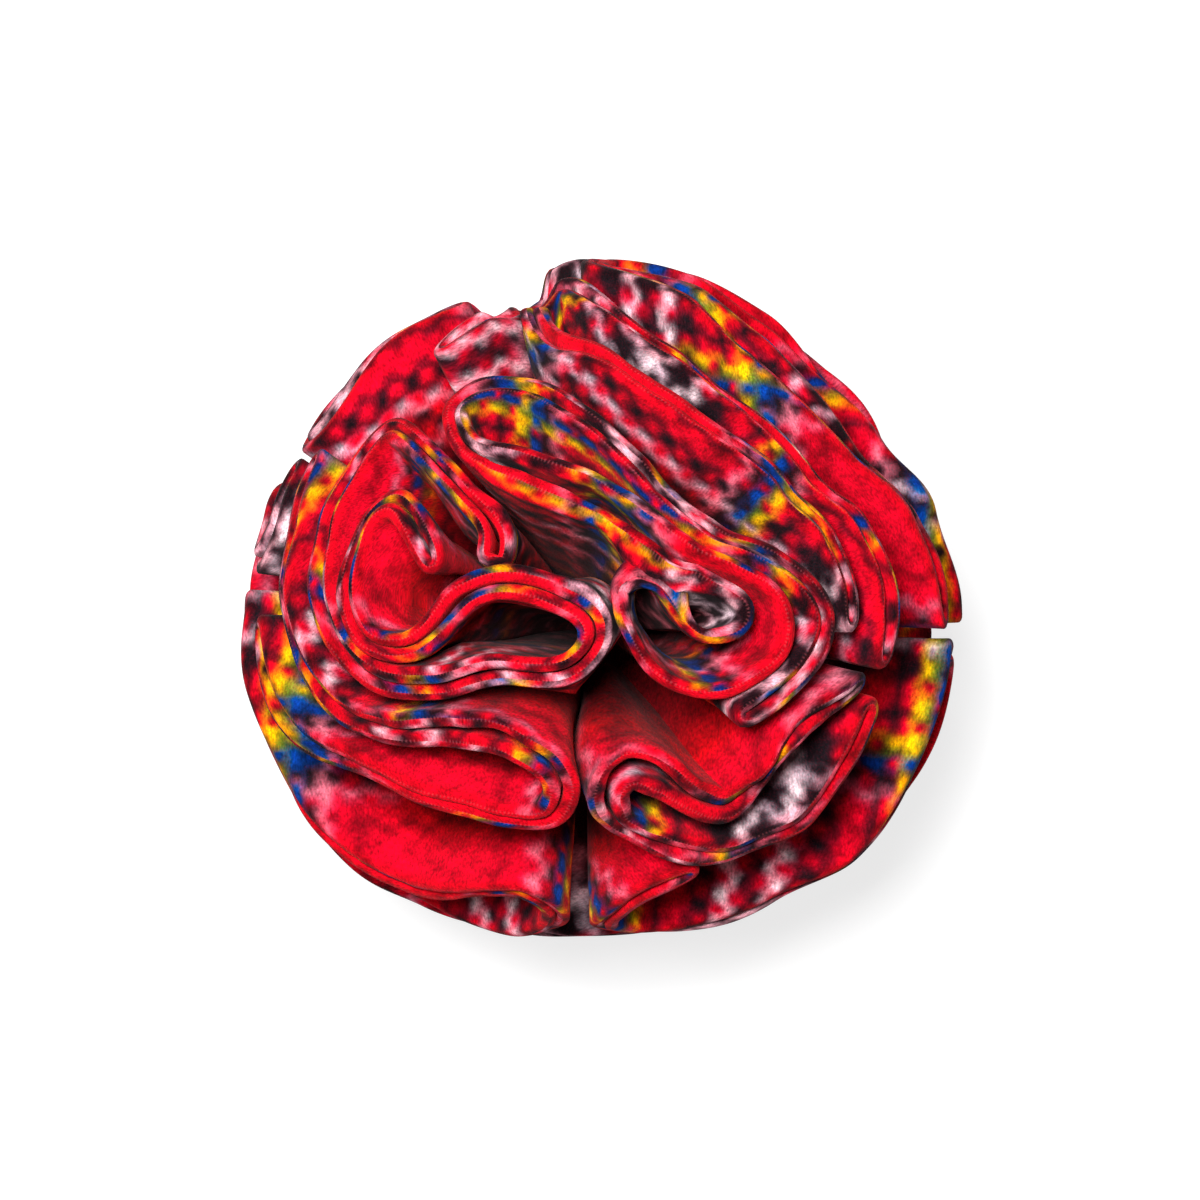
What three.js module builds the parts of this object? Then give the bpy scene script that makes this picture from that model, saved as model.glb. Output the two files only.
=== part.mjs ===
// Dog snuffle ball: sixteen round discs of tartan fleece, each folded double, pinched at its middle
// and packed round one gathering point. A disc's cut edge runs out along a meandering fold line on the
// surface of the ball and back again beside it, and from there the cloth runs in to the gathering point.
// Millimetres, +Z up. The ball stands on a small flat spot whose middle is the origin.
import * as THREE from 'three';

// The ball
const ballRadius = 75; // of the round form that the cut edges reach
const flatHeight = 70.5; // from the middle of the ball down to the flat spot
const gather = new THREE.Vector3(-3, -6, 0); // where the discs are pinched, seen from the middle
const underTurn = 90; // degrees by which the lower half's folds are turned against the upper half's

// The cloth
const thickness = 2.2; // of one layer at its cut edge
const pitch = 3; // between the two layers of a folded disc, centre to centre
const pocketFloor = 0.42; // share of the way out from the gathering point where the two layers part
const neckEnd = 0.18; // share of the way out where the pinched middle of a disc ends

// Facets
const stationTurn = 32; // degrees of bend between two sections of a fold
const stationStep = 15; // longest run between two sections
const capSteps = 3; // facets round the end of a fold
const finePoints = 900;

// Radius of the ball's outline at each bearing, anticlockwise from +X, seen from above.
const outline = [
  { bearing: 0, radius: 77.4 },
  { bearing: 15, radius: 75.5 },
  { bearing: 30, radius: 70.2 },
  { bearing: 45, radius: 69.8 },
  { bearing: 60, radius: 70.2 },
  { bearing: 75, radius: 72.8 },
  { bearing: 90, radius: 74.0 },
  { bearing: 105, radius: 70.8 },
  { bearing: 120, radius: 71.6 },
  { bearing: 135, radius: 73.0 },
  { bearing: 150, radius: 72.3 },
  { bearing: 165, radius: 74.5 },
  { bearing: 180, radius: 77.4 },
  { bearing: 195, radius: 78.2 },
  { bearing: 210, radius: 78.5 },
  { bearing: 225, radius: 78.5 },
  { bearing: 240, radius: 77.6 },
  { bearing: 255, radius: 75.0 },
  { bearing: 270, radius: 73.8 },
  { bearing: 285, radius: 74.0 },
  { bearing: 300, radius: 74.5 },
  { bearing: 315, radius: 78.3 },
  { bearing: 330, radius: 77.9 },
  { bearing: 345, radius: 77.6 },
];

// Folds of the discs that show on the crown. Each row is a place that the fold line passes, seen from
// above, and pitch, where it is given, is how far apart the two layers stand there.
const crownFolds = {
  sLoop: [
    { x: -36.5, y: 9.5, pitch: 4 },
    { x: -40.5, y: 16.5, pitch: 4 },
    { x: -45, y: 20.5, pitch: 3.4 },
    { x: -49.5, y: 18.5 },
    { x: -52.8, y: 10 },
    { x: -53, y: -1 },
    { x: -49.5, y: -8.5 },
    { x: -44, y: -10.3 },
    { x: -37.5, y: -7.5, pitch: 3.6 },
    { x: -31, y: 0.5, pitch: 5 },
    { x: -21.5, y: 4, pitch: 5.6 },
    { x: -8, y: 1, pitch: 4.4 },
    { x: -1.2, y: -4, pitch: 4.8 },
    { x: -0.8, y: -10, pitch: 5 },
    { x: -7, y: -15.2, pitch: 5 },
    { x: -22, y: -15.4, pitch: 4.4 },
    { x: -37, y: -18, pitch: 4.4 },
    { x: -48, y: -16.5, pitch: 4 },
    { x: -56.5, y: -8 },
    { x: -59.5, y: 2 },
    { x: -60.2, y: 12 },
    { x: -57.6, y: 22.5 },
    { x: -52, y: 31 },
    { x: -45.5, y: 37 },
    { x: -40, y: 32.6 },
    { x: -33.5, y: 27.2 },
    { x: -27.3, y: 21.5 },
    { x: -22.8, y: 16.5, pitch: 3.8 },
    { x: -23, y: 11, pitch: 3.8 },
  ],
  hairpin: [
    { x: 30.5, y: -24.5 },
    { x: 38.5, y: -18.5 },
    { x: 45.5, y: -11 },
    { x: 47.5, y: -3 },
    { x: 43, y: 4 },
    { x: 35, y: 9.5 },
    { x: 26, y: 14.5 },
    { x: 17.5, y: 20 },
    { x: 9, y: 29.5 },
    { x: 0, y: 36 },
    { x: -9, y: 42.5 },
    { x: -18, y: 46.6 },
    { x: -26, y: 46.2 },
    { x: -31.4, y: 41.2 },
    { x: -30, y: 34.5 },
    { x: -23, y: 30.2 },
    { x: -8.5, y: 26 },
    { x: 1.5, y: 21 },
    { x: 11, y: 15 },
    { x: 20, y: 9.5 },
    { x: 28.4, y: 5.2, pitch: 3.6 },
    { x: 33.2, y: 2.2, pitch: 6 },
    { x: 36, y: -2.2, pitch: 8 },
    { x: 35.4, y: -7.4, pitch: 9 },
    { x: 30.6, y: -12, pitch: 9.5 },
    { x: 23.4, y: -14.2, pitch: 11.5 },
    { x: 16.4, y: -11.4, pitch: 13.5 },
    { x: 11.4, y: -4.4, pitch: 10.5 },
    { x: 8.6, y: 1.6, pitch: 6.5 },
  ],
  topFan: [
    { x: 61.5, y: -12 },
    { x: 62, y: -2 },
    { x: 59.5, y: 9.5 },
    { x: 53, y: 20 },
    { x: 41, y: 32 },
    { x: 28, y: 43.5 },
    { x: 14, y: 54.5 },
    { x: 2, y: 63.5 },
    { x: -7.5, y: 68 },
    { x: -13.8, y: 64.5 },
    { x: -10, y: 57 },
    { x: 2, y: 51 },
    { x: 14, y: 42.5 },
    { x: 26, y: 34 },
    { x: 38, y: 25 },
    { x: 47.5, y: 16 },
    { x: 52.8, y: 7 },
    { x: 54.5, y: -4 },
  ],
  lowerLoop: [
    { x: 56, y: -17.5 },
    { x: 49.5, y: -22.5 },
    { x: 39.5, y: -31.5 },
    { x: 33.5, y: -40 },
    { x: 27.5, y: -45.5, pitch: 4 },
    { x: 20.5, y: -43.5, pitch: 5 },
    { x: 13.5, y: -38.5, pitch: 6.5 },
    { x: 6, y: -36.3, pitch: 7 },
    { x: 1.6, y: -40.5, pitch: 6 },
    { x: 4, y: -48, pitch: 4.5 },
    { x: 14, y: -52, pitch: 3.6 },
    { x: 28, y: -54, pitch: 3.6 },
    { x: 40, y: -49, pitch: 4.6 },
    { x: 49.2, y: -40.7, pitch: 5 },
    { x: 55.5, y: -32.5, pitch: 5 },
    { x: 59.3, y: -24.5, pitch: 4.5 },
  ],
  sideLoop: [
    { x: -61.8, y: 31 },
    { x: -65, y: 22 },
    { x: -67, y: 12 },
    { x: -67.6, y: 2 },
    { x: -65.6, y: -9 },
    { x: -61, y: -19.5 },
    { x: -54, y: -25.4 },
    { x: -42, y: -27.2, pitch: 4.6 },
    { x: -29, y: -28.4, pitch: 6 },
    { x: -18, y: -30.8, pitch: 6 },
    { x: -10, y: -36.6, pitch: 5 },
    { x: -8.1, y: -42, pitch: 4.6 },
    { x: -11, y: -47.4, pitch: 3.8 },
    { x: -19, y: -48 },
    { x: -31.2, y: -43.8 },
    { x: -47, y: -39.6 },
    { x: -57, y: -34.5 },
    { x: -66, y: -27 },
    { x: -71.5, y: -16.5 },
    { x: -74, y: -6 },
  ],
};

// Folds of the discs round the side of the ball: bearing is the compass direction, anticlockwise from
// +X, and tilt the angle down from the crown.
const sideFolds = {
  upperRightPetal: [
    { bearing: -3, tilt: 77 },
    { bearing: 8, tilt: 73, pitch: 4 },
    { bearing: 25, tilt: 67, pitch: 7 },
    { bearing: 45, tilt: 65, pitch: 9 },
    { bearing: 62, tilt: 67, pitch: 7 },
    { bearing: 80, tilt: 73, pitch: 5 },
    { bearing: 90, tilt: 79 },
    { bearing: 88, tilt: 87 },
    { bearing: 66, tilt: 85 },
    { bearing: 40, tilt: 84 },
    { bearing: 15, tilt: 86 },
    { bearing: -1, tilt: 91 },
  ],
  lowerRightPetal: [
    { bearing: -72, tilt: 56 },
    { bearing: -80, tilt: 59 },
    { bearing: -87, tilt: 66 },
    { bearing: -89, tilt: 77 },
    { bearing: -80, tilt: 85 },
    { bearing: -50, tilt: 84 },
    { bearing: -25, tilt: 84 },
    { bearing: -9, tilt: 86 },
    { bearing: -10, tilt: 94 },
    { bearing: -35, tilt: 97 },
    { bearing: -60, tilt: 97 },
  ],
  lowerLeftPetal: [
    { bearing: 180, tilt: 86 },
    { bearing: 192, tilt: 84 },
    { bearing: 212, tilt: 82 },
    { bearing: 228, tilt: 79 },
    { bearing: 239, tilt: 72 },
    { bearing: 247, tilt: 64 },
    { bearing: 254, tilt: 60 },
    { bearing: 260, tilt: 64 },
    { bearing: 262, tilt: 71 },
    { bearing: 258, tilt: 81 },
    { bearing: 245, tilt: 90 },
    { bearing: 222, tilt: 94 },
    { bearing: 198, tilt: 95 },
  ],
  upperLeftPetal: [
    { bearing: 116, tilt: 82 },
    { bearing: 131, tilt: 82 },
    { bearing: 146, tilt: 83 },
    { bearing: 151, tilt: 89 },
    { bearing: 143, tilt: 95 },
    { bearing: 128, tilt: 94 },
    { bearing: 118, tilt: 95 },
    { bearing: 110, tilt: 101 },
    { bearing: 102, tilt: 108 },
    { bearing: 107, tilt: 116 },
    { bearing: 122, tilt: 114 },
    { bearing: 140, tilt: 108.5 },
    { bearing: 152, tilt: 110 },
    { bearing: 165, tilt: 114 },
    { bearing: 178, tilt: 118 },
    { bearing: 192, tilt: 119.5 },
  ],
  leftPetal: [
    { bearing: 156, tilt: 80 },
    { bearing: 166, tilt: 79 },
    { bearing: 173, tilt: 85 },
    { bearing: 164, tilt: 91 },
    { bearing: 162, tilt: 100 },
    { bearing: 176, tilt: 103 },
    { bearing: 200, tilt: 109 },
    { bearing: 225, tilt: 108 },
    { bearing: 243, tilt: 104.5 },
    { bearing: 256, tilt: 100.5 },
    { bearing: 270, tilt: 99 },
    { bearing: 284, tilt: 99.5 },
  ],
  topPetal: [
    { bearing: 121, tilt: 63 },
    { bearing: 113, tilt: 66 },
    { bearing: 107.5, tilt: 70 },
    { bearing: 103, tilt: 79 },
    { bearing: 95, tilt: 90 },
    { bearing: 88, tilt: 97 },
    { bearing: 65, tilt: 98 },
    { bearing: 40, tilt: 98 },
    { bearing: 15, tilt: 101 },
    { bearing: 10, tilt: 110 },
    { bearing: 30, tilt: 112 },
    { bearing: 55, tilt: 110 },
  ],
};

const degrees = (angle) => THREE.MathUtils.degToRad(angle);

// The outline's radius at a bearing, between the rows of its table, as a share of the ball's.
function reachAt(bearing) {
  const step = 360 / outline.length;
  const turn = THREE.MathUtils.euclideanModulo(bearing, 360) / step;
  const row = Math.floor(turn);
  const next = (row + 1) % outline.length;
  const share = THREE.MathUtils.smoothstep(turn - row, 0, 1);
  return THREE.MathUtils.lerp(outline[row].radius, outline[next].radius, share) / ballRadius;
}

// The direction, seen from the middle of the ball, of a row of a fold's table.
function directionOf(row) {
  const bearing = row.bearing ?? THREE.MathUtils.radToDeg(Math.atan2(row.y, row.x));
  const tilt = row.tilt === undefined
    ? Math.asin(Math.hypot(row.x, row.y) / (ballRadius * reachAt(bearing)))
    : degrees(row.tilt);
  return new THREE.Vector3().setFromSphericalCoords(1, tilt, degrees(90 + bearing)).applyAxisAngle(
    new THREE.Vector3(1, 0, 0), Math.PI / 2);
}

// The point of the ball's outer form in a direction: its outline seen from above, and its flat spot.
function onBall(direction) {
  const bearing = THREE.MathUtils.radToDeg(Math.atan2(direction.y, direction.x));
  const point = direction.clone().multiplyScalar(ballRadius);
  const reach = reachAt(bearing);
  point.x *= reach;
  point.y *= reach;
  return point.z < -flatHeight ? point.multiplyScalar(flatHeight / -point.z) : point;
}

// The fold line through the rows as close points, each with its direction, heading and layer pitch.
function foldLine(rows, turnUnder) {
  const curve = new THREE.CatmullRomCurve3(rows.map(directionOf), false, 'centripetal');
  const line = [];
  for (let i = 0; i <= finePoints; i++) {
    const along = i / finePoints;
    const place = along * (rows.length - 1);
    const row = Math.min(Math.floor(place), rows.length - 2);
    const share = THREE.MathUtils.smoothstep(place - row, 0, 1);
    const apart = THREE.MathUtils.lerp(rows[row].pitch ?? pitch, rows[row + 1].pitch ?? pitch, share);
    const direction = curve.getPoint(along).normalize();
    const heading = curve.getTangent(along).projectOnPlane(direction).normalize();
    if (turnUnder) [direction, heading].forEach(toUnderside);
    line.push({ direction, heading, apart });
  }
  return line;
}

// Turns a vector of the upper half over to the lower half.
function toUnderside(vector) {
  vector.applyAxisAngle(new THREE.Vector3(1, 0, 0), Math.PI);
  vector.applyAxisAngle(new THREE.Vector3(0, 0, 1), degrees(underTurn));
}

// The sections of a fold line: close together where it bends and far apart where it runs straight.
function stationsOf(line) {
  const stations = [line[0]];
  let turned = 0;
  let run = 0;
  for (let i = 1; i < line.length; i++) {
    turned += THREE.MathUtils.radToDeg(line[i].heading.angleTo(line[i - 1].heading));
    run += ballRadius * line[i].direction.angleTo(line[i - 1].direction);
    const last = i === line.length - 1;
    if (turned > stationTurn || run > stationStep || last) {
      stations.push(line[i]);
      turned = 0;
      run = 0;
    }
  }
  return stations;
}

// Directions on a loop round the fold line, at the given distance beyond half the pitch: up its left
// side, round its end, back down its right side and round its start.
function loopRound(stations, beyond) {
  const loop = [];
  const place = ({ direction, heading, apart }, turn, facing) => {
    const left = new THREE.Vector3().crossVectors(direction, heading);
    const away = left.multiplyScalar(Math.cos(turn)).addScaledVector(heading, facing * Math.sin(turn));
    const angle = (apart / 2 + beyond) / ballRadius;
    loop.push(direction.clone().multiplyScalar(Math.cos(angle)).addScaledVector(away, Math.sin(angle)));
  };
  stations.forEach((station) => place(station, 0, 1));
  for (let i = 1; i < capSteps; i++) place(stations.at(-1), (Math.PI * i) / capSteps, 1);
  [...stations].reverse().forEach((station) => place(station, Math.PI, 1));
  for (let i = 1; i < capSteps; i++) place(stations[0], (Math.PI * (capSteps + i)) / capSteps, 1);
  return loop;
}

// One folded disc as a closed solid: an outer and an inner wall that meet at the cut edge, the floor
// where the layers part, and the end of the pinched neck.
function foldedDisc(name, rows, turnUnder = false) {
  const stations = stationsOf(foldLine(rows, turnUnder));
  const outer = loopRound(stations, thickness / 2);
  const inner = loopRound(stations, -thickness / 2);
  const ring = (loop, share) => loop.map((direction) => gather.clone().lerp(onBall(direction), share));
  const rings = [ring(outer, neckEnd), ring(outer, 1), ring(inner, 1), ring(inner, pocketFloor)];
  const count = outer.length;
  const points = rings.flat();
  const faces = [];
  const quad = (a, b, c, d) => faces.push(a, b, c, a, c, d);
  for (let level = 0; level < rings.length - 1; level++) {
    for (let i = 0; i < count; i++) {
      const next = (i + 1) % count;
      const low = level * count;
      quad(low + i, low + count + i, low + count + next, low + next);
    }
  }
  ribbon(stations.length, count, 0, true, faces);
  ribbon(stations.length, count, (rings.length - 1) * count, false, faces);
  const geometry = new THREE.BufferGeometry().setFromPoints(points);
  geometry.setIndex(faces);
  geometry.computeVertexNormals();
  const mesh = new THREE.Mesh(geometry, fleece);
  mesh.name = name;
  return mesh;
}

// Closes a loop with a ribbon of faces across it, from its start cap to its end cap.
function ribbon(stations, count, first, flip, faces) {
  const face = (a, b, c) => faces.push(first + a, first + (flip ? c : b), first + (flip ? b : c));
  const across = (i) => 2 * stations + capSteps - 2 - i;
  for (let i = 0; i < stations - 1; i++) {
    face(i, across(i), across(i + 1));
    face(i, across(i + 1), i + 1);
  }
  for (let i = 0; i < capSteps - 1; i++) {
    face(stations - 1, stations + i + 1, stations + i);
    face(0, across(0) + i + 1, across(0) + i);
  }
}

const fleece = new THREE.MeshStandardMaterial({ color: 0xc2101f, roughness: 0.95, metalness: 0 });

const ball = new THREE.Group();
ball.position.z = flatHeight;
for (const [name, rows] of Object.entries(crownFolds)) {
  ball.add(foldedDisc(`${name}Disc`, rows));
  ball.add(foldedDisc(`${name}DiscUnder`, rows, true));
}
for (const [name, rows] of Object.entries(sideFolds)) ball.add(foldedDisc(`${name}Disc`, rows));

const part = new THREE.Group();
part.add(ball);
export default part;
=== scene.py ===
import math
import bpy
import bmesh
import numpy as np
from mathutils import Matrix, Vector


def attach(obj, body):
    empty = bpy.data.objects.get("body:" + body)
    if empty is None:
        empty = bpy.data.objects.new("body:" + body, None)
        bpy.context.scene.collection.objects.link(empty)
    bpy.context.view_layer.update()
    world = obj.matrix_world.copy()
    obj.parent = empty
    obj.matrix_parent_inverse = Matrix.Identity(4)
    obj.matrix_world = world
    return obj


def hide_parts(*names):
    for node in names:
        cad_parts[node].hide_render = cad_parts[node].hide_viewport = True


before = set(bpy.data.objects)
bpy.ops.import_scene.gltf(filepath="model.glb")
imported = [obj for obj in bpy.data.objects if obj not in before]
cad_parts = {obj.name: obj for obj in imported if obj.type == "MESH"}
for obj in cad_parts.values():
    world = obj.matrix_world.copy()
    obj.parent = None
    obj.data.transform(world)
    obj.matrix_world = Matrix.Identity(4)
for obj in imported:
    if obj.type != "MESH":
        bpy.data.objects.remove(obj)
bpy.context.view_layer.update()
print("frame loaded")

mm = 0.001

ball = {
    "radius": 75, "flatHeight": 70.5,  # of the round form, and from its middle down to the flat spot
    "gather": (-3, -6, 0),  # where the discs are pinched, seen from the middle
    "underTurn": 90,  # degrees that the lower half's folds are turned by
}
outline = {  # bearing in degrees: radius of the ball's outline in mm
    0: 77.4, 15: 75.5, 30: 70.2, 45: 69.8, 60: 70.2, 75: 72.8, 90: 74, 105: 70.8, 120: 71.6,
    135: 73, 150: 72.3, 165: 74.5, 180: 77.4, 195: 78.2, 210: 78.5, 225: 78.5, 240: 77.6, 255: 75,
    270: 73.8, 285: 74, 300: 74.5, 315: 78.3, 330: 77.9, 345: 77.6,
}

cloth = {
    "thickness": 2.75, "pitch": 3, "neck": 0.006, "steps": 500, "softness": 1.0,
    "stationTurn": 32, "stationStep": 15, "capSteps": 3,
    "waveHeight": 0.9, "rippleHeight": 0.3, "edgeRise": 1.1, "creaseHeight": 0.12,
    "loft": {"least": 1.25, "most": 2.2, "free": 1.6, "gap": 0.1, "reach": 6},  # half of the cloth near its cut edge
    # rings of the flat disc between its neck and its rounded edge, as shares of its radius
    "rings": [0.08, 0.13, 0.2, 0.28, 0.36, 0.44, 0.52, 0.59, 0.66, 0.72, 0.77, 0.82, 0.86, 0.895, 0.925, 0.95, 0.97],
    "edgeWaves": (3, 14), "creaseWaves": (14, 60, 3),  # how many of each run round a cut edge
    "edgeCurl": 1.3,  # how far the print curls over the cut edge
    # deepFrom and deepFade: where the painted shade down in the folds starts and how quickly it grows
    "rimFrom": 0.965, "rimFade": 0.03, "deepFrom": 0.93, "deepFade": 0.45,  # shares of the disc's radius
}

# Folds seen from above as (x, y, layer pitch), side folds as (bearing, tilt, layer pitch)
sLoop = {
    "fold": [
        (-36.5, 9.5, 4), (-40.5, 16.5, 4), (-45, 20.5, 3.4), (-49.5, 18.5), (-52.8, 10), (-53, -1),
        (-49.5, -8.5), (-44, -10.3), (-37.5, -7.5, 3.6), (-31, 0.5, 4.3), (-21.5, 4, 4.4),
        (-8, 1, 4.2), (-1.9, -4, 4.2), (-1.5, -10, 4.2), (-7, -15.2, 4.2), (-22, -15.4, 4),
        (-37, -18, 4), (-48, -16.5, 4), (-56.5, -8), (-59.5, 2), (-60.2, 12), (-57.6, 22.5),
        (-52, 31), (-45.5, 37), (-40, 32.6), (-33.5, 27.2), (-27.3, 21.5), (-22.8, 16.5),
        (-23, 11),
    ],
    "print": ((77, 33, 18), (48, 85, 14)),
}

hairpin = {
    "fold": [
        (30.5, -24.5), (38.5, -18.5), (45.5, -11), (47.5, -3), (43, 4), (35, 9.5), (26, 14.5),
        (17.5, 20), (9, 29.5), (0, 36), (-9, 42.5), (-18, 46.6), (-26, 46.2), (-31.4, 41.2),
        (-30, 34.5), (-23.2, 30, 5.2), (-8.7, 26.1, 6.2), (1.5, 21.2, 6.4), (10.8, 15.2, 6.4),
        (19.7, 9.5, 6), (28.2, 5.4, 5), (33.2, 2.2, 6), (36, -2.2, 8), (35.4, -7.4, 9),
        (30.6, -12, 9.5), (23.4, -14.2, 11.5), (16.2, -10.8, 12.4), (11.6, -4.3, 12),
        (9.2, 0.7, 11),
    ],
    "print": ((100, 102, 28), (101, 5, 28)),
}

topFan = {
    "fold": [
        (61.5, -12), (62, -2), (59.5, 9.5), (53, 20), (41, 32), (28, 43.5), (14, 54.5), (2, 63.5),
        (-7.5, 68), (-13.8, 64.5), (-10, 57), (2, 51), (14, 42.5), (26, 34), (38, 25), (47.5, 16),
        (52.8, 7), (54.5, -4),
    ],
    "print": ((42, 55, 6), (99, 1, 62)),
}

lowerLoop = {
    "fold": [
        (56, -17.5), (49.5, -22.5), (39.5, -31.5), (33.5, -40), (27.5, -45.5, 4), (20.5, -43.5, 5),
        (13.5, -38.5, 6.5), (6, -36.3, 7), (1.6, -40.5, 6), (4, -48, 4.5), (14, -52, 3.6),
        (28, -54, 3.6), (40, -49, 4.6), (49.2, -40.7, 5), (55.5, -32.5, 5), (59.3, -24.5, 4.5),
    ],
    "print": ((27, 27, 56), (94, 28, 4)),
}

sideLoop = {
    "fold": [
        (-61.8, 31), (-65, 22), (-67, 12), (-67.6, 2), (-65.6, -9), (-61, -19.5), (-54, -25.4),
        (-42, -27.2, 4.6), (-29, -28.4, 6), (-18, -30.8, 6), (-10, -36.6, 5), (-8.1, -42, 4.6),
        (-11, -47.4, 3.8), (-19, -48), (-31.2, -43.8), (-47, -39.6), (-57, -34.5), (-66, -27),
        (-71.5, -16.5), (-74, -6),
    ],
    "print": ((35, 63, 0), (23, 75, 18)),
}

upperRightPetal = {
    "sideFold": [
        (-3, 77), (8, 73, 4), (25, 67, 7), (45, 65, 9), (62, 67, 7), (80, 73, 5), (90, 79),
        (88, 87), (66, 85), (40, 84), (15, 86), (-1, 91),
    ],
    "print": ((89, 77, 33), (42, 90, 2)),
}

lowerRightPetal = {
    "sideFold": [
        (-72, 56), (-80, 59), (-87, 66), (-89, 77), (-80, 85), (-50, 84), (-25, 84), (-9, 86),
        (-10, 94), (-35, 97), (-60, 97),
    ],
    "print": ((112, 61, 60), (103, 71, 72)),
}

lowerLeftPetal = {
    "sideFold": [
        (180, 86), (192, 84), (212, 82), (228, 79), (239, 72), (247, 64), (254, 60), (260, 64),
        (262, 71), (258, 81), (245, 90), (222, 94), (198, 95),
    ],
    "print": ((49, 97, 78), (91, 57, 0)),
}

upperLeftPetal = {
    "sideFold": [
        (116, 82), (131, 82), (146, 83), (151, 89), (143, 95), (128, 94), (118, 95), (110, 101),
        (102, 108), (107, 116), (122, 114), (140, 108.5), (152, 110), (165, 114), (178, 118),
        (192, 119.5),
    ],
    "print": ((98, 70, 24), (20, 3, 88)),
}

leftPetal = {
    "sideFold": [
        (156, 80), (166, 79), (173, 85), (164, 91), (162, 100), (176, 103), (200, 109), (225, 108),
        (243, 104.5), (256, 100.5), (270, 99), (284, 99.5),
    ],
    "print": ((36, 1, 88), (112, 38, 4)),
}

topPetal = {
    "sideFold": [
        (121, 63), (113, 66), (107.5, 70), (103, 79), (95, 90), (88, 97), (65, 98), (40, 98),
        (15, 101), (10, 110), (30, 112), (55, 110),
    ],
    "print": ((112, 104, 2), (113, 95, 18)),
}

crownDiscs = {"sLoop": sLoop, "hairpin": hairpin, "topFan": topFan, "lowerLoop": lowerLoop, "sideLoop": sideLoop}
sideDiscs = {
    "upperRightPetal": upperRightPetal, "lowerRightPetal": lowerRightPetal, "lowerLeftPetal": lowerLeftPetal,
    "upperLeftPetal": upperLeftPetal, "leftPetal": leftPetal, "topPetal": topPetal,
}


def smoothShare(x):
    x = np.clip(x, 0, 1)
    return x * x * (3 - 2 * x)


def reachAt(bearing):
    radii = np.array(list(outline.values()))
    step = 360 / len(radii)
    turn = np.mod(bearing, 360) / step
    row = np.floor(turn).astype(int) % len(radii)
    share = smoothShare(turn - np.floor(turn))
    return (radii[row] * (1 - share) + radii[(row + 1) % len(radii)] * share) / ball["radius"]


def onBall(directions):
    points = directions * ball["radius"]
    reach = reachAt(np.degrees(np.arctan2(directions[:, 1], directions[:, 0])))
    points[:, :2] *= reach[:, None]
    low = points[:, 2] < -ball["flatHeight"]
    points[low] *= (ball["flatHeight"] / -points[low, 2])[:, None]
    return points


def unit(vectors):
    return vectors / np.linalg.norm(vectors, axis=1)[:, None]


def rowDirections(disc):
    if "fold" in disc:
        places = np.array([row[:2] for row in disc["fold"]], float)
        bearing = np.arctan2(places[:, 1], places[:, 0])
        tilt = np.arcsin(np.hypot(*places.T) / (ball["radius"] * reachAt(np.degrees(bearing))))
    else:
        bearing, tilt = np.radians([row[:2] for row in disc["sideFold"]]).T
    return np.stack([np.cos(bearing) * np.sin(tilt), np.sin(bearing) * np.sin(tilt), np.cos(tilt)], 1)


def splineThrough(points, closed, count):
    # centripetal Catmull-Rom curve, count points in all
    n = len(points)
    if closed:
        table = np.concatenate([points[-1:], points, points[:2]])
        spans = n
    else:
        table = np.concatenate([2 * points[:1] - points[1:2], points, 2 * points[-1:] - points[-2:-1]])
        spans = n - 1
    along = np.arange(count) / (count if closed else count - 1) * spans
    row = np.minimum(along.astype(int), spans - 1)
    t = (along - row)[:, None]
    p = [table[row + k] for k in range(4)]
    gap = [np.maximum(np.linalg.norm(p[k + 1] - p[k], axis=1), 1e-6)[:, None] ** 0.5 for k in range(3)]
    m1 = (p[1] - p[0]) / gap[0] - (p[2] - p[0]) / (gap[0] + gap[1]) + (p[2] - p[1]) / gap[1]
    m2 = (p[2] - p[1]) / gap[1] - (p[3] - p[1]) / (gap[1] + gap[2]) + (p[3] - p[2]) / gap[2]
    m1, m2 = m1 * gap[1], m2 * gap[1]
    a, b = 2 * (p[1] - p[2]) + m1 + m2, -3 * (p[1] - p[2]) - 2 * m1 - m2
    return ((a * t + b) * t + m1) * t + p[1], along


def foldStations(disc):
    # directions, headings and pitches along the fold line, close together where it bends
    table = disc.get("fold") or disc["sideFold"]
    line, along = splineThrough(rowDirections(disc), False, 901)
    line = unit(line)
    heading = np.gradient(line, axis=0)
    heading = unit(heading - line * np.sum(heading * line, 1)[:, None])
    pitches = np.array([row[2] if len(row) > 2 else cloth["pitch"] for row in table])
    row = np.minimum(along.astype(int), len(table) - 2)
    share = smoothShare(along - row)
    pitch = pitches[row] * (1 - share) + pitches[row + 1] * share
    keep, turned, run = [0], 0, 0
    for i in range(1, len(line)):
        turned += math.degrees(math.acos(min(1, heading[i] @ heading[i - 1])))
        run += ball["radius"] * math.acos(min(1, line[i] @ line[i - 1]))
        if turned > cloth["stationTurn"] or run > cloth["stationStep"] or i == len(line) - 1:
            keep.append(i)
            turned = run = 0
    return line[keep], heading[keep], pitch[keep]


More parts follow.
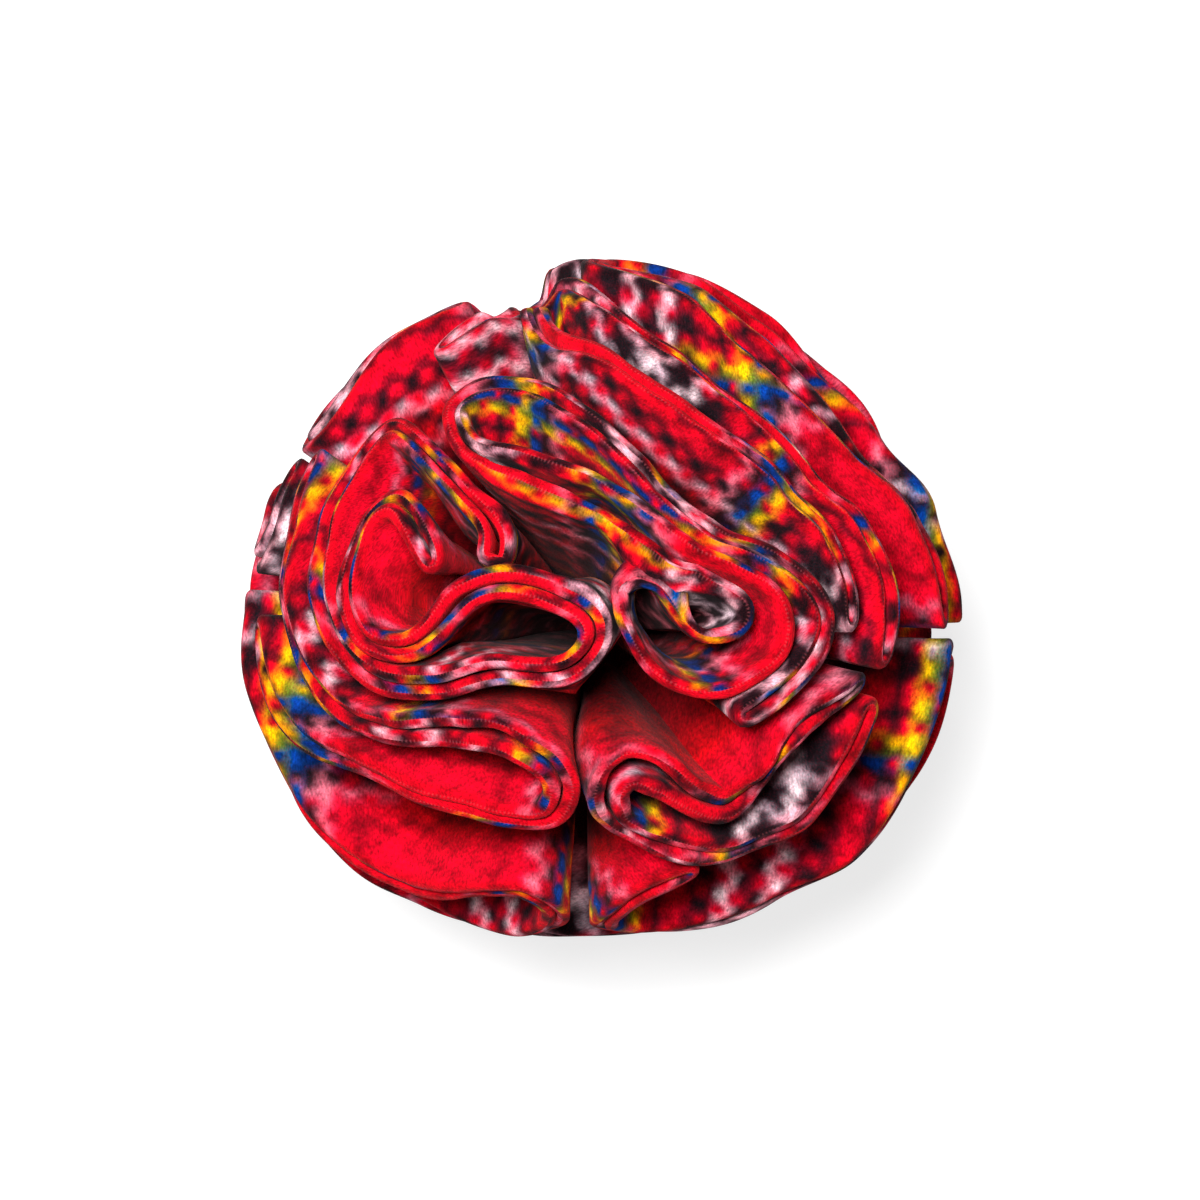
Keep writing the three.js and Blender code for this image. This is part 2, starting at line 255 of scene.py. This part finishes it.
def edgeLoop(disc):
    # directions of the cut edge's middle, evenly spaced, out along the fold line and back
    line, heading, pitch = foldStations(disc)
    steps = cloth["capSteps"]
    n = len(line)
    order = list(range(n)) + [n - 1] * (steps - 1) + list(range(n - 1, -1, -1)) + [0] * (steps - 1)
    turn = [0] * n + [math.pi * k / steps for k in range(1, steps)]
    turn += [math.pi] * n + [math.pi * (steps + k) / steps for k in range(1, steps)]
    line, heading, pitch, turn = line[order], heading[order], pitch[order], np.array(turn)[:, None]
    away = np.cross(line, heading) * np.cos(turn) + heading * np.sin(turn)
    angle = (pitch / 2 / ball["radius"])[:, None]
    loop = line * np.cos(angle) + away * np.sin(angle)
    loop = unit(splineThrough(loop, True, 4000)[0])
    for _ in range(2):
        length = np.linalg.norm(np.roll(loop, -1, 0) - loop, axis=1) * ball["radius"]
        travel = np.concatenate([[0], np.cumsum(length)])
        count = cloth["steps"]
        at = np.arange(count) / count * travel[-1]
        closedLoop = np.concatenate([loop, loop[:1]])
        loop = unit(np.stack([np.interp(at, travel, closedLoop[:, k]) for k in range(3)], 1))
    # soften the bends
    sigma = cloth["softness"] * cloth["steps"] / travel[-1]
    reach = np.arange(-8, 9)
    weights = np.exp(-0.5 * (reach / sigma) ** 2)
    weights /= weights.sum()
    loop = unit(sum(w * np.roll(loop, k, 0) for w, k in zip(weights, reach)))
    return loop, travel[-1]


# Cloth rolled thicker on the side that faces these lines: points along each seen from above, how wide, how much in mm
bulks = {
    "hairpinBand": [(-20.5, 23.2), (-11.5, 19.5), (-1, 14.5), (8, 8.2), (17, 3), 8, 2.6],
    "knob": [(-3, 5.5), (1, 10), (8, 11), (15, 8), (21.5, 1), 8, 3.4],
}


def fromLine(points, line):
    # away from the nearest place on a line, and how far
    nearest, nearestAway = None, None
    for a, b in zip(line, line[1:]):
        t = np.clip(((points - a) @ (b - a)) / ((b - a) @ (b - a)), 0, 1)[:, None]
        away = points - (a + (b - a) * t)
        gap = np.linalg.norm(away, axis=1)
        closer = gap < (np.inf if nearest is None else nearest)
        nearestAway = away if nearest is None else np.where(closer[:, None], away, nearestAway)
        nearest = gap if nearest is None else np.where(closer, gap, nearest)
    return nearestAway, nearest


def layEdges():
    # every cut edge as places on the ball, and how far the pile can loft to either side before it meets the next layer
    edges = {}
    for name, disc in list(crownDiscs.items()) + list(sideDiscs.items()):
        for under in ((False, True) if name in crownDiscs else (False,)):
            loop, length = edgeLoop(disc)
            if under:
                turn = math.radians(ball["underTurn"])
                loop = loop * (1, -1, -1)
                turned = [[math.cos(turn), math.sin(turn), 0], [-math.sin(turn), math.cos(turn), 0], [0, 0, 1]]
                loop = loop @ np.array(turned)
            outer = onBall(loop)
            aim = unit(outer - ball["gather"])
            side = unit(np.cross(unit(np.roll(outer, -1, 0) - np.roll(outer, 1, 0)), aim))
            edges[name, under] = {"disc": disc, "outer": outer, "aim": aim, "side": side, "length": length}
    places = np.concatenate([edge["outer"] for edge in edges.values()])
    loft, count = cloth["loft"], cloth["steps"]
    for row, edge in enumerate(edges.values()):
        outer = edge["outer"]
        square = (outer ** 2).sum(1)[:, None] + (places ** 2).sum(1) - 2 * outer @ places.T
        here, there = np.nonzero(square < loft["reach"] ** 2)
        apart = np.abs(here - (there - row * count))
        apart = np.minimum(apart, count - apart) * edge["length"] / count
        away = places[there] - outer[here]
        gap = np.linalg.norm(away, axis=1)
        lateral = (away * edge["side"][here]).sum(1)
        near = (apart > 5) & (np.abs(lateral) > 0.6 * gap)
        for sign, key in ((1, "up"), (-1, "down")):
            pick = near & (lateral * sign > 0)
            room = np.full(count, 99.0)
            np.minimum.at(room, here[pick], gap[pick])
            room = np.min([np.roll(room, k) for k in range(-3, 4)], 0)
            half = np.where(room > 90, loft["free"], np.clip(room / 2 - loft["gap"], loft["least"], loft["most"]))
            for *line, reach, more in bulks.values():
                lineAway, lineGap = fromLine(outer[:, :2], np.array(line, float))
                facing = ((lineAway * edge["side"][:, :2]).sum(1) * sign < 0) & (outer[:, 2] > 0)
                half = half + more * (1 - smoothShare(lineGap / reach)) * facing
            edge[key] = sum(np.roll(half, k) for k in range(-3, 4)) / 7
    return edges


def flatRound():
    # the cloth as it is cut: a thin round disc of radius 1 with a rounded edge, spun from its section
    shares = [cloth["neck"]] + cloth["rings"]
    inset = cloth["thickness"] / 3 / ball["radius"]
    section = [(share, -1) for share in shares]
    section += [(1 - inset * (1 - math.cos(a)), math.sin(a)) for a in np.linspace(-math.pi / 2, math.pi / 2, 9)]
    section += [(share, 1) for share in reversed(shares)]
    bm = bmesh.new()
    verts = [bm.verts.new((x, 0, z)) for x, z in section]
    outlineEdges = [bm.edges.new((a, b)) for a, b in zip(verts, verts[1:] + verts[:1])]
    bmesh.ops.spin(bm, geom=verts + outlineEdges, cent=(0, 0, 0), axis=(0, 0, 1), angle=2 * math.pi,
                   steps=cloth["steps"], use_merge=True)
    bmesh.ops.recalc_face_normals(bm, faces=bm.faces)
    mesh = bpy.data.meshes.new("flatRound")
    bm.to_mesh(mesh)
    bm.free()
    return mesh


edges = layEdges()
flatCloth = flatRound()
print("cloth cut")

# Gaps that close up some way below the edges: points along each seen from above,
# how wide it draws in, how deep it closes
creases = {
    "hairpinTrough": [(-27, 40), (-9, 34.5), (6.5, 26), (18, 16.5), 11, 0.26],
    "pouch": [(13, 3), (16, -3), (22.5, -8), (29, -8), (32.5, -3), 12, 0.24],
    "lip": [(-24, 27.5), (-15, 21.5), (-9, 17.5), 7, 0.3],
    "middleGap": [(-9, 17), (-5, 14), (-2, 11.5), 11, 0.7],
    "knobTop": [(1, 12), (8, 7.8), (18, 3), (24, 0), 7, 0.3],
    "knobLeft": [(-4, 7.5), (0.8, 3.9), (4.6, -1.2), (6, -7), 6, 0.3],
    "bowl": [(-39.5, 12), (-35.5, 4), (-39, -5), 13, 0.24],
    "bowlTop": [(-43, 20.5), (-26, 14), 8, 0.24],
    "leftCrevice": [(-55, -19.5), (-46.5, -23), (-30, -24), (-7, -23), 7, 0.24],
    "sideHollow": [(-47, -31), (-30, -37), (-13, -43), 9, 0.24],
    "split": [(-4.3, -22), (-3.3, -50), 8, 0.24],
}
creaseGrip = 0.85
# Edges that lie lower than their neighbours: points along each seen from above, how wide, how much lower in mm
sinks = {
    "sLoopLip": [(-30.5, 28.5), (-25.5, 23.4), (-20.9, 17.2), (-21.2, 11.5), 2, 3.5],
    "topNotch": [(-14.6, 68.5), (-20, 67), (-23.4, 66), 6, 5],
    "hairpinOuterLayer": [(-24, 27), (-10, 23), (-0.5, 18.4), (9, 12.5), (18, 7), 2.6, 2],
}


def drawIn(directions, share):
    # closes the creases below the edges by moving whole parts of the ball sideways
    shift = np.zeros_like(directions)
    for *places, reach, depth in creases.values():
        away, gap = fromLine(directions, rowDirections({"fold": places}))
        pull = np.exp(-((gap * ball["radius"] / reach) ** 2)) * creaseGrip
        shift -= away * (pull * smoothShare((1 - share) / depth))[:, None]
    return unit(directions + shift)


def edgeDrop(outer):
    # how much lower each place of a cut edge lies
    drop = np.zeros(len(outer))
    for *places, reach, depth in sinks.values():
        _, gap = fromLine(outer[:, :2], np.array(places, float))
        drop += depth * (1 - smoothShare((gap / reach - 0.4) / 0.6)) * (outer[:, 2] > -30)
    return drop


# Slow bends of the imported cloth: how many, shortest and longest in mm, how high
waveSets = ((9, 26, 60, cloth["waveHeight"]), (10, 13, 24, cloth["rippleHeight"]))
waveRandom = np.random.default_rng(7)
waves = []
for many, shortest, longest, height in waveSets:
    for _ in range(many):
        aim, push = waveRandom.normal(size=3), waveRandom.normal(size=3)
        phase, length = waveRandom.uniform(0, 6.3), waveRandom.uniform(shortest, longest)
        waves.append((aim, push, phase, length, height))


def slowWave(points):
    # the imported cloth's own unevenness, the same for neighbouring layers
    shift = np.zeros_like(points)
    for aim, push, phase, length, height in waves:
        aim, push = aim / np.linalg.norm(aim), push / np.linalg.norm(push)
        shift += np.sin(points @ aim * (2 * math.pi / length) + phase)[:, None] * push * min(1, length / 45) * height / 2
    return shift


def foldCloth(name, edge, under, seed):
    disc, outer, aim, side, length = (edge[key] for key in ("disc", "outer", "aim", "side", "length"))
    count = len(outer)
    radius = length / (2 * math.pi)
    mesh = flatCloth.copy()
    mesh.name = name
    flat = np.empty(len(mesh.vertices) * 3)
    mesh.vertices.foreach_get("co", flat)
    flat = flat.reshape(-1, 3) * (radius, radius, 1)
    around = np.mod(np.arctan2(flat[:, 1], flat[:, 0]), 2 * math.pi) / (2 * math.pi)
    place = np.round(around * count).astype(int) % count
    share = np.hypot(flat[:, 0], flat[:, 1]) / radius
    # uneven cut edge and small creases of this disc
    rng = np.random.default_rng(seed)
    edgeWave = np.zeros(count)
    creaseWave = np.zeros(count)
    t = np.arange(count) / count * 2 * math.pi
    for k in range(*cloth["edgeWaves"]):
        edgeWave += rng.normal() * np.sin(k * t + rng.uniform(0, 6.3)) / k ** 0.7
    for k in range(*cloth["creaseWaves"]):
        creaseWave += rng.normal() * np.sin(k * t + rng.uniform(0, 6.3)) / k ** 0.3
    edgeWave *= cloth["edgeRise"] / edgeWave.std() * 0.6
    creaseWave *= cloth["creaseHeight"] / creaseWave.std() * 0.6
    gather = np.array(ball["gather"], float)
    base = gather + (outer[place] - gather) * share[:, None]
    edgeShift = (edgeWave - edgeDrop(outer))[place] * share ** 3
    if not under:
        base += aim[place] * edgeShift[:, None]
    half = np.where(flat[:, 2] > 0, edge["up"][place], edge["down"][place])
    base += side[place] * (flat[:, 2] * half * share + creaseWave[place] * share ** 2)[:, None]
    if not under:
        outerPlace = gather + (base - gather) / share[:, None]
        far = np.linalg.norm(outerPlace, axis=1)[:, None]
        drawn = drawIn(outerPlace / far, share) * far
        base = gather + (drawn - gather) * share[:, None]
    aboveFloor = smoothShare((base[:, 2] + ball["flatHeight"]) / 25)
    base += slowWave(base) * (smoothShare(share * 1.2) * aboveFloor)[:, None]
    base[:, 2] = np.maximum(base[:, 2] + ball["flatHeight"], 0.02)
    mesh.vertices.foreach_set("co", (base * mm).ravel())
    # where each point lies on the flat print, and where along and across the cut edge
    loopVerts = np.empty(len(mesh.loops), int)
    mesh.loops.foreach_get("vertex_index", loopVerts)
    faceUp = np.repeat(flat[loopVerts, 2].reshape(-1, 4).mean(1) > 0, 4)
    sides = []
    # the pile curls over the cut edge, and the print with it
    spread = flat[:, :2] * (1 + cloth["edgeCurl"] * half * (1 - np.abs(flat[:, 2])) / radius)[:, None]
    for shiftX, shiftY, turn in disc["print"]:
        turn = math.radians(turn)
        sides.append(np.stack([spread[:, 0] * math.cos(turn) - spread[:, 1] * math.sin(turn) + shiftX,
                               spread[:, 0] * math.sin(turn) + spread[:, 1] * math.cos(turn) + shiftY], 1)[loopVerts])
    printMap = mesh.uv_layers.new(name="flatPrint")
    printMap.data.foreach_set("uv", np.where(faceUp[:, None], sides[0], sides[1]).ravel() / 100)
    alongFlat = place / count * length
    faceAlong = alongFlat[loopVerts].reshape(-1, 4)
    faceAlong[(faceAlong.max(1) - faceAlong.min(1) > length / 2)[:, None] & (faceAlong < length / 2)] += length
    across = flat[:, 2]
    edgeMap = mesh.uv_layers.new(name="cutEdge")
    edgeMap.data.foreach_set("uv", np.stack([faceAlong.ravel(), across[loopVerts]], 1).ravel() / 10)
    rim = mesh.attributes.new("rim", "FLOAT", "POINT")
    rim.data.foreach_set("value", smoothShare((share - cloth["rimFrom"]) / cloth["rimFade"]))
    # how far down towards the gather each point lies, for the painted shade in the folds
    deep = mesh.attributes.new("deep", "FLOAT", "POINT")
    deep.data.foreach_set("value", smoothShare((cloth["deepFrom"] - share) / cloth["deepFade"]))
    mesh.polygons.foreach_set("use_smooth", np.ones(len(mesh.polygons), bool))
    piece = bpy.data.objects.new(name, mesh)
    bpy.context.collection.objects.link(piece)
    # outward faces
    check = bmesh.new()
    check.from_mesh(mesh)
    volume = check.calc_volume(signed=True)
    if volume < 0:
        bmesh.ops.reverse_faces(check, faces=check.faces)
        check.to_mesh(mesh)
    check.free()
    return piece, 2 * radius * mm


def addMath(nodes, links, kind, a, b=None, c=None):
    node = nodes.new("ShaderNodeMath")
    node.operation = kind
    for k, value in enumerate((a, b, c)):
        if value is None:
            continue
        if hasattr(value, "is_output"):
            links.new(value, node.inputs[k])
        else:
            node.inputs[k].default_value = value
    return node.outputs[0]


def addMix(nodes, links, factor, a, b, blend="MIX"):
    node = nodes.new("ShaderNodeMix")
    node.data_type = "RGBA"
    node.blend_type = blend
    for socket, value in ((node.inputs["Factor"], factor), (node.inputs[6], a), (node.inputs[7], b)):
        if hasattr(value, "is_output"):
            links.new(value, socket)
        else:
            socket.default_value = value
    return node.outputs[2]


fleece = {
    "row": 0.04,  # one row of blobs, as a share of 100 mm
    # colours as they look, mixed like that and turned into light at the end; last, a third of each ink's strength
    "gamma": 2.2,
    "red": (0.82, 0.028, 0.145, 0.33), "dim": (0.46, 0.025, 0.09, 0.33), "black": (0.10, 0.09, 0.105, 0.4),
    "white": (0.96, 0.87, 0.89, 0.43), "pink": (0.88, 0.45, 0.52, 0.5), "yellow": (0.99, 0.79, 0.04, 0.54),
    "blue": (0.09, 0.25, 0.60, 0.8), "green": (0.34, 0.45, 0.14, 0.7),
    # stripes of half a sett from the middle of the plain red, widths in rows of blobs
    "sett": [("red", 3.7), ("dim", 0.8), ("red", 0.9), ("pink", 0.95), ("black", 0.75), ("blue", 0.95),
             ("green", 0.25), ("yellow", 0.95), ("red", 0.35), ("black", 0.75), ("red", 1.35), ("black", 1.65),
             ("white", 1.05), ("black", 0.6)],
    "blur": 0.36, "blobContrast": 0.5, "wobble": 0.026, "fibre": 0.009, "redFibre": 0.17, "cloud": 0.46,
    "acrossTint": (0.86, 0.84, 0.87, 1),  # the stripes that run the other way are a little duller
    "blueOverRed": -2.2, "leastRed": 0.05,
}
pile = {
    "roughness": 0.92, "gloss": 0.06, "sheen": 0.02, "sheenRoughness": 0.5,
    "lay": (210, 90, 1), "clumpScale": 350, "clumpDetail": 4, "clumpRoughness": 0.62, "bump": 0.5, "height": 0.0004,
    # painted shade down in the folds: darker and redder, then towards near black, more towards the gather
    "weakerRate": 3, "weakerMost": 0.85, "weakerTint": (0.85, 0.1, 0.15, 1),
    "crushed": 0.78, "crushedColour": (0.03, 0.001, 0.003, 1),
    # along the cut edge: a redder tint, and a painted highlight of broken pink specks
    "sheared": 0.58, "shearedTint": (0.95, 0.3, 0.38, 1),
    "dashLength": 0.085, "dashStrength": 0.17, "dashBase": 0.05, "edgeGlintColour": (0.8, 0.16, 0.19, 1),
}


def stripeRamp(nodes):
    # the print's stripes across one direction, each fading into the next
    ramp = nodes.new("ShaderNodeValToRGB")
    ramp.color_ramp.interpolation = "LINEAR"
    total = sum(width for _, width in fleece["sett"])
    at = 0
    places = []
    for colour, width in fleece["sett"]:
        fade = min(fleece["blur"], width / 2.2)
        places += [((at + fade) / total, fleece[colour]), ((at + width - fade) / total, fleece[colour])]
        at += width
    stops = ramp.color_ramp.elements
    stops[0].position, stops[0].color = 0, places[0][1]
    stops[1].position, stops[1].color = 1, places[-1][1]
    for position, colour in places[1:-1]:
        stops.new(position).color = colour
    return ramp


def addNoise(nodes, links, vector, scale, detail):
    noise = nodes.new("ShaderNodeTexNoise")
    noise.inputs["Scale"].default_value = scale
    noise.inputs["Detail"].default_value = detail
    links.new(vector, noise.inputs["Vector"])
    return noise


def addRange(nodes, links, value, start, end, most=1):
    stretch = nodes.new("ShaderNodeMapRange")
    links.new(value, stretch.inputs["Value"])
    stretch.inputs["From Min"].default_value = start
    stretch.inputs["From Max"].default_value = end
    stretch.inputs["To Max"].default_value = most
    return stretch.outputs[0]


def centredNoise(nodes, links, vector, scale, detail=1):
    noise = addNoise(nodes, links, vector, scale, detail)
    centre = nodes.new("ShaderNodeVectorMath")
    centre.operation = "SUBTRACT"
    links.new(noise.outputs["Color"], centre.inputs[0])
    centre.inputs[1].default_value = (0.5, 0.5, 0.5)
    return centre.outputs[0], noise.outputs["Fac"]


def addShift(nodes, links, vector, push, amount):
    shift = nodes.new("ShaderNodeVectorMath")
    shift.operation = "MULTIPLY_ADD"
    links.new(push, shift.inputs[0])
    shift.inputs[1].default_value = (amount, amount, 0)
    links.new(vector, shift.inputs[2])
    return shift.outputs[0]


def tartanGroup():
    group = bpy.data.node_groups.new("tartanPrint", "ShaderNodeTree")
    group.interface.new_socket(name="Flat", in_out="INPUT", socket_type="NodeSocketVector")
    group.interface.new_socket(name="Colour", in_out="OUTPUT", socket_type="NodeSocketColor")
    nodes, links = group.nodes, group.links
    inside = nodes.new("NodeGroupInput")
    outside = nodes.new("NodeGroupOutput")
    flat = inside.outputs["Flat"]
    # blobs out of line by about a millimetre, and their edges broken up by the pile
    slow, _ = centredNoise(nodes, links, flat, 25)
    fine, tuft = centredNoise(nodes, links, flat, 260, 3)
    place = addShift(nodes, links, flat, slow, fleece["wobble"])
    place = addShift(nodes, links, place, fine, fleece["fibre"])
    split = nodes.new("ShaderNodeSeparateXYZ")
    links.new(place, split.inputs[0])
    half = sum(width for _, width in fleece["sett"]) * fleece["row"]
    colours, inks, waves = [], [], []
    for axis in ("X", "Y"):
        turn = addMath(nodes, links, "PINGPONG", split.outputs[axis], half)
        ramp = stripeRamp(nodes)
        links.new(addMath(nodes, links, "DIVIDE", turn, half), ramp.inputs["Fac"])
        colours.append(ramp.outputs["Color"])
        inks.append(ramp.outputs["Alpha"])
        angle = addMath(nodes, links, "MULTIPLY", split.outputs[axis], 2 * math.pi / (2 * fleece["row"]))
        waves.append(addMath(nodes, links, "SINE", angle))
    checker = addMath(nodes, links, "MULTIPLY", waves[0], waves[1])
    clamp = nodes.new("ShaderNodeClamp")
    links.new(addMath(nodes, links, "MULTIPLY_ADD", checker, fleece["blobContrast"], 0.5), clamp.inputs[0])
    # the stronger ink of the two directions wins over part of the other's blobs
    cross = addMath(nodes, links, "MULTIPLY", clamp.outputs[0], inks[1])
    rest = addMath(nodes, links, "MULTIPLY", addMath(nodes, links, "SUBTRACT", 1.0, clamp.outputs[0]), inks[0])
    part = addMath(nodes, links, "DIVIDE", cross, addMath(nodes, links, "ADD", cross, rest))
    faded = addMix(nodes, links, 1.0, colours[1], fleece["acrossTint"], "MULTIPLY")
    colour = addMix(nodes, links, part, colours[0], faded)
    # red fibres that show through the print
    through = addRange(nodes, links, tuft, 0.42, 0.75, fleece["redFibre"])
    colour = addMix(nodes, links, through, colour, fleece["red"])
    # blue over red looks dark, not purple
    parts = nodes.new("ShaderNodeSeparateColor")
    links.new(colour, parts.inputs[0])
    red, green, blue = parts.outputs
    blueness = addMath(nodes, links, "SUBTRACT", addMath(nodes, links, "SUBTRACT", blue, green), 0.15)
    blueness = addMath(nodes, links, "MAXIMUM", blueness, 0.0)
    joined = nodes.new("ShaderNodeCombineColor")
    lessRed = addMath(nodes, links, "MULTIPLY_ADD", blueness, fleece["blueOverRed"], red)
    links.new(addMath(nodes, links, "MAXIMUM", lessRed, fleece["leastRed"]), joined.inputs[0])
    links.new(green, joined.inputs[1])
    links.new(blue, joined.inputs[2])
    colour = joined.outputs[0]
    # the pile lies lighter and darker in patches
    cloud = addNoise(nodes, links, flat, 9, 3)
    shade = addMath(nodes, links, "MULTIPLY_ADD", cloud.outputs["Fac"], fleece["cloud"], 1 - fleece["cloud"] / 2)
    colour = addMix(nodes, links, 1.0, colour, shade, "MULTIPLY")
    light = nodes.new("ShaderNodeGamma")
    links.new(colour, light.inputs["Color"])
    light.inputs["Gamma"].default_value = fleece["gamma"]
    links.new(light.outputs[0], outside.inputs["Colour"])
    return group


def fleeceMaterial(group):
    material = bpy.data.materials.new("tartanFleece")
    material.use_nodes = True
    nodes, links = material.node_tree.nodes, material.node_tree.links
    shader = nodes["Principled BSDF"]
    shader.inputs["Roughness"].default_value = pile["roughness"]
    shader.inputs["Specular IOR Level"].default_value = pile["gloss"]
    shader.inputs["Sheen Weight"].default_value = pile["sheen"]
    shader.inputs["Sheen Roughness"].default_value = pile["sheenRoughness"]
    flatMap = nodes.new("ShaderNodeUVMap")
    flatMap.uv_map = "flatPrint"
    tartan = nodes.new("ShaderNodeGroup")
    tartan.node_tree = group
    links.new(flatMap.outputs[0], tartan.inputs["Flat"])
    coordinates = nodes.new("ShaderNodeTexCoord")
    lay = nodes.new("ShaderNodeMapping")
    lay.inputs["Scale"].default_value = pile["lay"]
    links.new(flatMap.outputs[0], lay.inputs["Vector"])
    strands = addNoise(nodes, links, lay.outputs[0], 1, 2)
    clumps = addNoise(nodes, links, coordinates.outputs["Object"], pile["clumpScale"], pile["clumpDetail"])
    clumps.inputs["Roughness"].default_value = pile["clumpRoughness"]
    mottle = addMath(nodes, links, "MULTIPLY_ADD", strands.outputs["Fac"], 2.1, -0.05)
    tufts = addMath(nodes, links, "MULTIPLY_ADD", clumps.outputs["Fac"], 1.5, 0.25)
    mottle = addMath(nodes, links, "MULTIPLY", mottle, tufts)
    # painted shade down in the folds: the print darkened and turned redder, then mixed towards near black, more
    # towards the gather
    rim = nodes.new("ShaderNodeAttribute")
    rim.attribute_name = "rim"
    deep = nodes.new("ShaderNodeAttribute")
    deep.attribute_name = "deep"
    weaker = addMath(nodes, links, "MULTIPLY", deep.outputs["Fac"], pile["weakerRate"])
    weaker = addMath(nodes, links, "MINIMUM", weaker, pile["weakerMost"])
    foldShaded = addMix(nodes, links, weaker, tartan.outputs["Colour"], pile["weakerTint"], "MULTIPLY")
    crushed = addMath(nodes, links, "MULTIPLY", deep.outputs["Fac"], pile["crushed"])
    foldShaded = addMix(nodes, links, crushed, foldShaded, pile["crushedColour"])
    mottled = addMix(nodes, links, 1.0, foldShaded, mottle, "MULTIPLY")
    # cut edge: a painted highlight, a thin broken line of pink specks along the middle
    edgeMap = nodes.new("ShaderNodeUVMap")
    edgeMap.uv_map = "cutEdge"
    split = nodes.new("ShaderNodeSeparateXYZ")
    links.new(edgeMap.outputs[0], split.inputs[0])
    across = addMath(nodes, links, "ABSOLUTE", split.outputs["Y"])
    lineMask = addRange(nodes, links, across, 0.026, 0.008)
    uneven = addMath(nodes, links, "MULTIPLY_ADD", clumps.outputs["Fac"], 0.12, split.outputs["X"])
    dash = addMath(nodes, links, "SINE", addMath(nodes, links, "MULTIPLY", uneven, 2 * math.pi / pile["dashLength"]))
    dash = addMath(nodes, links, "MULTIPLY_ADD", dash, pile["dashStrength"], pile["dashBase"])
    edgeGlint = addMath(nodes, links, "MULTIPLY", lineMask, dash)
    edgeGlint = addMath(nodes, links, "MULTIPLY", edgeGlint, rim.outputs["Fac"])
    patchy = addMath(nodes, links, "MULTIPLY", edgeGlint, strands.outputs["Fac"])
    sheared = addMath(nodes, links, "MULTIPLY", rim.outputs["Fac"], pile["sheared"])
    edged = addMix(nodes, links, sheared, mottled, pile["shearedTint"], "MULTIPLY")
    clamp = nodes.new("ShaderNodeClamp")
    links.new(patchy, clamp.inputs[0])
    # the painted highlight laid over the cut edge
    final = addMix(nodes, links, clamp.outputs[0], edged, pile["edgeGlintColour"])
    links.new(final, shader.inputs["Base Color"])
    height = addMath(nodes, links, "MULTIPLY_ADD", clumps.outputs["Fac"], 1.5, strands.outputs["Fac"])
    bump = nodes.new("ShaderNodeBump")
    bump.inputs["Strength"].default_value = pile["bump"]
    bump.inputs["Distance"].default_value = pile["height"]
    links.new(height, bump.inputs["Height"])
    links.new(bump.outputs[0], shader.inputs["Normal"])
    return material


fleeceSkin = fleeceMaterial(tartanGroup())
made = 0
for (name, under), edge in edges.items():
    node = name + ("DiscUnder" if under else "Disc")
    made += 1
    piece, across = foldCloth(name + ("FleeceUnder" if under else "Fleece"), edge, under, made)
    piece.data.materials.append(fleeceSkin)
    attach(piece, "root")
    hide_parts(node)
    print(node, len(piece.data.polygons) * 2, "triangles, flat width", round(across, 4))
print("cloth folded")


studio = {
    "floorShade": 0.32, "floorGlow": 0.76, "floorSize": 3, "worldLight": 0.17,
    "keyPlace": (-0.4, 0.5, 2.75), "keyAim": (0, 0, 0.07), "keySize": 0.9, "keyPower": 150,
    "viewDistance": 5.2, "viewWidth": 0.26, "sensor": 36,
}


def studioFloor():
    bm = bmesh.new()
    bmesh.ops.create_grid(bm, x_segments=1, y_segments=1, size=studio["floorSize"])
    mesh = bpy.data.meshes.new("floor")
    bm.to_mesh(mesh)
    bm.free()
    floor = bpy.data.objects.new("floor", mesh)
    bpy.context.collection.objects.link(floor)
    material = bpy.data.materials.new("paleFloor")
    material.use_nodes = True
    nodes, links = material.node_tree.nodes, material.node_tree.links
    shader = nodes["Principled BSDF"]
    shader.inputs["Base Color"].default_value = (*[studio["floorShade"]] * 3, 1)
    shader.inputs["Roughness"].default_value = 0.9
    shader.inputs["Specular IOR Level"].default_value = 0.1
    path = nodes.new("ShaderNodeLightPath")
    seen = addMath(nodes, links, "MAXIMUM", path.outputs["Is Camera Ray"], path.outputs["Is Glossy Ray"])
    seen = addMath(nodes, links, "MAXIMUM", seen, path.outputs["Is Transmission Ray"])
    glow = nodes.new("ShaderNodeEmission")
    links.new(addMath(nodes, links, "MULTIPLY", seen, studio["floorGlow"]), glow.inputs["Strength"])
    both = nodes.new("ShaderNodeAddShader")
    links.new(shader.outputs[0], both.inputs[0])
    links.new(glow.outputs[0], both.inputs[1])
    links.new(both.outputs[0], nodes["Material Output"].inputs["Surface"])
    mesh.materials.append(material)


def areaLight(name, place, aim, size, power):
    data = bpy.data.lights.new(name, "AREA")
    data.size = size
    data.energy = power
    lamp = bpy.data.objects.new(name, data)
    lamp.location = place
    lamp.rotation_euler = (Vector(aim) - Vector(place)).to_track_quat("-Z", "Y").to_euler()
    bpy.context.collection.objects.link(lamp)


studioFloor()
areaLight("keyLight", studio["keyPlace"], studio["keyAim"], studio["keySize"], studio["keyPower"])
world = bpy.data.worlds.new("studio")
world.use_nodes = True
world.node_tree.nodes["Background"].inputs["Color"].default_value = (1, 1, 1, 1)
world.node_tree.nodes["Background"].inputs["Strength"].default_value = studio["worldLight"]
bpy.context.scene.world = world
bpy.context.scene.view_settings.view_transform = "Standard"

cameraData = bpy.data.cameras.new("camera")
cameraData.sensor_width = studio["sensor"]
cameraData.lens = studio["sensor"] * studio["viewDistance"] / studio["viewWidth"]
cameraData.clip_end = 20
camera = bpy.data.objects.new("camera", cameraData)
camera.location = (0, 0, ball["flatHeight"] * mm + studio["viewDistance"])
bpy.context.collection.objects.link(camera)
bpy.context.scene.camera = camera
print("studio set")
